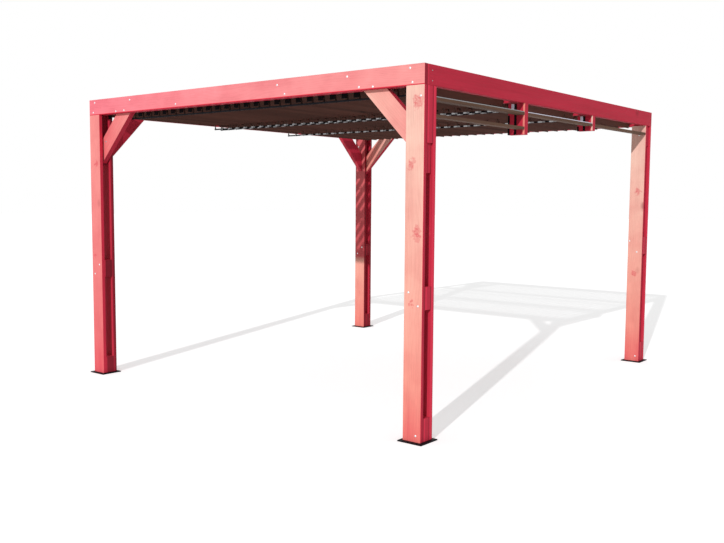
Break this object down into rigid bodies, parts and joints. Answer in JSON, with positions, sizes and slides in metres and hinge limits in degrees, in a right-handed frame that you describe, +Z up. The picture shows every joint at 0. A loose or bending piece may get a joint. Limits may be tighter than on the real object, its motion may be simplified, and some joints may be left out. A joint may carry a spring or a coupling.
{
  "type": "pergola",
  "caption": "Freestanding red-stained timber pergola with double-board posts, knee braces and a roof of tilting brown slats joined by flat tie bars",
  "frame": {"origin": "ground level under the middle of the frame", "axes": "+X along the front beam to the right, +Y from the front to the back, +Z up"},
  "size_m": [3.448, 3.7, 2.3],
  "materials": {
    "red_stained_timber": "matt stained softwood",
    "brown_slat_timber": "matt stained softwood, darker",
    "zinc_steel": "zinc plated",
    "black_steel": "black coated"
  },
  "bodies": {
    "frame": {"front_left_foot_plate": "black_steel", "front_right_foot_plate": "black_steel", "back_left_foot_plate": "black_steel", "back_right_foot_plate": "black_steel", "front_left_post": "red_stained_timber", "front_right_post": "red_stained_timber", "back_left_post": "red_stained_timber", "back_right_post": "red_stained_timber", "front_beam": "red_stained_timber", "back_beam": "red_stained_timber", "left_beam": "red_stained_timber", "right_beam": "red_stained_timber", "corner_blocks": "red_stained_timber", "front_slat_rail": "red_stained_timber", "back_slat_rail": "red_stained_timber", "front_joist": "red_stained_timber", "back_joist": "red_stained_timber", "front_left_brace": "red_stained_timber", "front_right_brace": "red_stained_timber", "back_left_brace": "red_stained_timber", "left_front_brace": "red_stained_timber", "left_back_brace": "red_stained_timber", "stub_posts": "red_stained_timber", "side_slats": "brown_slat_timber"},
    "slat_01": {"slat_01": "brown_slat_timber"},
    "slat_02": {"slat_02": "brown_slat_timber"},
    "slat_03": {"slat_03": "brown_slat_timber"},
    "slat_04": {"slat_04": "brown_slat_timber"},
    "slat_05": {"slat_05": "brown_slat_timber"},
    "slat_06": {"slat_06": "brown_slat_timber"},
    "slat_07": {"slat_07": "brown_slat_timber"},
    "slat_08": {"slat_08": "brown_slat_timber"},
    "slat_09": {"slat_09": "brown_slat_timber"},
    "slat_10": {"slat_10": "brown_slat_timber"},
    "slat_11": {"slat_11": "brown_slat_timber"},
    "slat_12": {"slat_12": "brown_slat_timber"},
    "slat_13": {"slat_13": "brown_slat_timber"},
    "slat_14": {"slat_14": "brown_slat_timber"},
    "slat_15": {"slat_15": "brown_slat_timber"},
    "slat_16": {"slat_16": "brown_slat_timber"},
    "slat_17": {"slat_17": "brown_slat_timber"},
    "slat_18": {"slat_18": "brown_slat_timber"},
    "slat_19": {"slat_19": "brown_slat_timber"},
    "slat_20": {"slat_20": "brown_slat_timber"},
    "slat_21": {"slat_21": "brown_slat_timber"},
    "slat_22": {"slat_22": "brown_slat_timber"},
    "slat_23": {"slat_23": "brown_slat_timber"},
    "slat_24": {"slat_24": "brown_slat_timber"},
    "slat_25": {"slat_25": "brown_slat_timber"},
    "slat_26": {"slat_26": "brown_slat_timber"},
    "slat_27": {"slat_27": "brown_slat_timber"},
    "slat_28": {"slat_28": "brown_slat_timber"},
    "slat_29": {"slat_29": "brown_slat_timber"},
    "slat_30": {"slat_30": "brown_slat_timber"},
    "slat_31": {"slat_31": "brown_slat_timber"},
    "tie_bars": {"tie_bars": "black_steel"}
  },
  "joints": [
    {"name": "tilt_01", "type": "hinge", "parent": "frame", "child": "slat_01", "pos_m": [-1.5255, 0, 2.208], "axis": [0, -1, 0], "range_deg": [-75, 15]},
    {"name": "tilt_02", "type": "hinge", "parent": "frame", "child": "slat_02", "pos_m": [-1.4238, 0, 2.208], "axis": [0, -1, 0], "range_deg": [-75, 15]},
    {"name": "tilt_03", "type": "hinge", "parent": "frame", "child": "slat_03", "pos_m": [-1.3221, 0, 2.208], "axis": [0, -1, 0], "range_deg": [-75, 15]},
    {"name": "tilt_04", "type": "hinge", "parent": "frame", "child": "slat_04", "pos_m": [-1.2204, 0, 2.208], "axis": [0, -1, 0], "range_deg": [-75, 15]},
    {"name": "tilt_05", "type": "hinge", "parent": "frame", "child": "slat_05", "pos_m": [-1.1187, 0, 2.208], "axis": [0, -1, 0], "range_deg": [-75, 15]},
    {"name": "tilt_06", "type": "hinge", "parent": "frame", "child": "slat_06", "pos_m": [-1.017, 0, 2.208], "axis": [0, -1, 0], "range_deg": [-75, 15]},
    {"name": "tilt_07", "type": "hinge", "parent": "frame", "child": "slat_07", "pos_m": [-0.9153, 0, 2.208], "axis": [0, -1, 0], "range_deg": [-75, 15]},
    {"name": "tilt_08", "type": "hinge", "parent": "frame", "child": "slat_08", "pos_m": [-0.8136, 0, 2.208], "axis": [0, -1, 0], "range_deg": [-75, 15]},
    {"name": "tilt_09", "type": "hinge", "parent": "frame", "child": "slat_09", "pos_m": [-0.7119, 0, 2.208], "axis": [0, -1, 0], "range_deg": [-75, 15]},
    {"name": "tilt_10", "type": "hinge", "parent": "frame", "child": "slat_10", "pos_m": [-0.6102, 0, 2.208], "axis": [0, -1, 0], "range_deg": [-75, 15]},
    {"name": "tilt_11", "type": "hinge", "parent": "frame", "child": "slat_11", "pos_m": [-0.5085, 0, 2.208], "axis": [0, -1, 0], "range_deg": [-75, 15]},
    {"name": "tilt_12", "type": "hinge", "parent": "frame", "child": "slat_12", "pos_m": [-0.4068, 0, 2.208], "axis": [0, -1, 0], "range_deg": [-75, 15]},
    {"name": "tilt_13", "type": "hinge", "parent": "frame", "child": "slat_13", "pos_m": [-0.3051, 0, 2.208], "axis": [0, -1, 0], "range_deg": [-75, 15]},
    {"name": "tilt_14", "type": "hinge", "parent": "frame", "child": "slat_14", "pos_m": [-0.2034, 0, 2.208], "axis": [0, -1, 0], "range_deg": [-75, 15]},
    {"name": "tilt_15", "type": "hinge", "parent": "frame", "child": "slat_15", "pos_m": [-0.1017, 0, 2.208], "axis": [0, -1, 0], "range_deg": [-75, 15]},
    {"name": "tilt_16", "type": "hinge", "parent": "frame", "child": "slat_16", "pos_m": [0, 0, 2.208], "axis": [0, -1, 0], "range_deg": [-75, 15]},
    {"name": "tilt_17", "type": "hinge", "parent": "frame", "child": "slat_17", "pos_m": [0.1017, 0, 2.208], "axis": [0, -1, 0], "range_deg": [-75, 15]},
    {"name": "tilt_18", "type": "hinge", "parent": "frame", "child": "slat_18", "pos_m": [0.2034, 0, 2.208], "axis": [0, -1, 0], "range_deg": [-75, 15]},
    {"name": "tilt_19", "type": "hinge", "parent": "frame", "child": "slat_19", "pos_m": [0.3051, 0, 2.208], "axis": [0, -1, 0], "range_deg": [-75, 15]},
    {"name": "tilt_20", "type": "hinge", "parent": "frame", "child": "slat_20", "pos_m": [0.4068, 0, 2.208], "axis": [0, -1, 0], "range_deg": [-75, 15]},
    {"name": "tilt_21", "type": "hinge", "parent": "frame", "child": "slat_21", "pos_m": [0.5085, 0, 2.208], "axis": [0, -1, 0], "range_deg": [-75, 15]},
    {"name": "tilt_22", "type": "hinge", "parent": "frame", "child": "slat_22", "pos_m": [0.6102, 0, 2.208], "axis": [0, -1, 0], "range_deg": [-75, 15]},
    {"name": "tilt_23", "type": "hinge", "parent": "frame", "child": "slat_23", "pos_m": [0.7119, 0, 2.208], "axis": [0, -1, 0], "range_deg": [-75, 15]},
    {"name": "tilt_24", "type": "hinge", "parent": "frame", "child": "slat_24", "pos_m": [0.8136, 0, 2.208], "axis": [0, -1, 0], "range_deg": [-75, 15]},
    {"name": "tilt_25", "type": "hinge", "parent": "frame", "child": "slat_25", "pos_m": [0.9153, 0, 2.208], "axis": [0, -1, 0], "range_deg": [-75, 15]},
    {"name": "tilt_26", "type": "hinge", "parent": "frame", "child": "slat_26", "pos_m": [1.017, 0, 2.208], "axis": [0, -1, 0], "range_deg": [-75, 15]},
    {"name": "tilt_27", "type": "hinge", "parent": "frame", "child": "slat_27", "pos_m": [1.1187, 0, 2.208], "axis": [0, -1, 0], "range_deg": [-75, 15]},
    {"name": "tilt_28", "type": "hinge", "parent": "frame", "child": "slat_28", "pos_m": [1.2204, 0, 2.208], "axis": [0, -1, 0], "range_deg": [-75, 15]},
    {"name": "tilt_29", "type": "hinge", "parent": "frame", "child": "slat_29", "pos_m": [1.3221, 0, 2.208], "axis": [0, -1, 0], "range_deg": [-75, 15]},
    {"name": "tilt_30", "type": "hinge", "parent": "frame", "child": "slat_30", "pos_m": [1.4238, 0, 2.208], "axis": [0, -1, 0], "range_deg": [-75, 15]},
    {"name": "tilt_31", "type": "hinge", "parent": "frame", "child": "slat_31", "pos_m": [1.5255, 0, 2.208], "axis": [0, -1, 0], "range_deg": [-75, 15]},
    {"name": "tie_bar_link", "type": "hinge", "parent": "slat_16", "child": "tie_bars", "pos_m": [0.00946, 0, 2.13098], "axis": [0, -1, 0], "range_deg": [-15, 75]}
  ],
  "couplings": [
    {"joint": "tilt_01", "follows": "tilt_16", "ratio": 1},
    {"joint": "tilt_02", "follows": "tilt_16", "ratio": 1},
    {"joint": "tilt_03", "follows": "tilt_16", "ratio": 1},
    {"joint": "tilt_04", "follows": "tilt_16", "ratio": 1},
    {"joint": "tilt_05", "follows": "tilt_16", "ratio": 1},
    {"joint": "tilt_06", "follows": "tilt_16", "ratio": 1},
    {"joint": "tilt_07", "follows": "tilt_16", "ratio": 1},
    {"joint": "tilt_08", "follows": "tilt_16", "ratio": 1},
    {"joint": "tilt_09", "follows": "tilt_16", "ratio": 1},
    {"joint": "tilt_10", "follows": "tilt_16", "ratio": 1},
    {"joint": "tilt_11", "follows": "tilt_16", "ratio": 1},
    {"joint": "tilt_12", "follows": "tilt_16", "ratio": 1},
    {"joint": "tilt_13", "follows": "tilt_16", "ratio": 1},
    {"joint": "tilt_14", "follows": "tilt_16", "ratio": 1},
    {"joint": "tilt_15", "follows": "tilt_16", "ratio": 1},
    {"joint": "tilt_17", "follows": "tilt_16", "ratio": 1},
    {"joint": "tilt_18", "follows": "tilt_16", "ratio": 1},
    {"joint": "tilt_19", "follows": "tilt_16", "ratio": 1},
    {"joint": "tilt_20", "follows": "tilt_16", "ratio": 1},
    {"joint": "tilt_21", "follows": "tilt_16", "ratio": 1},
    {"joint": "tilt_22", "follows": "tilt_16", "ratio": 1},
    {"joint": "tilt_23", "follows": "tilt_16", "ratio": 1},
    {"joint": "tilt_24", "follows": "tilt_16", "ratio": 1},
    {"joint": "tilt_25", "follows": "tilt_16", "ratio": 1},
    {"joint": "tilt_26", "follows": "tilt_16", "ratio": 1},
    {"joint": "tilt_27", "follows": "tilt_16", "ratio": 1},
    {"joint": "tilt_28", "follows": "tilt_16", "ratio": 1},
    {"joint": "tilt_29", "follows": "tilt_16", "ratio": 1},
    {"joint": "tilt_30", "follows": "tilt_16", "ratio": 1},
    {"joint": "tilt_31", "follows": "tilt_16", "ratio": 1},
    {"joint": "tie_bar_link", "follows": "tilt_16", "ratio": -1}
  ]
}
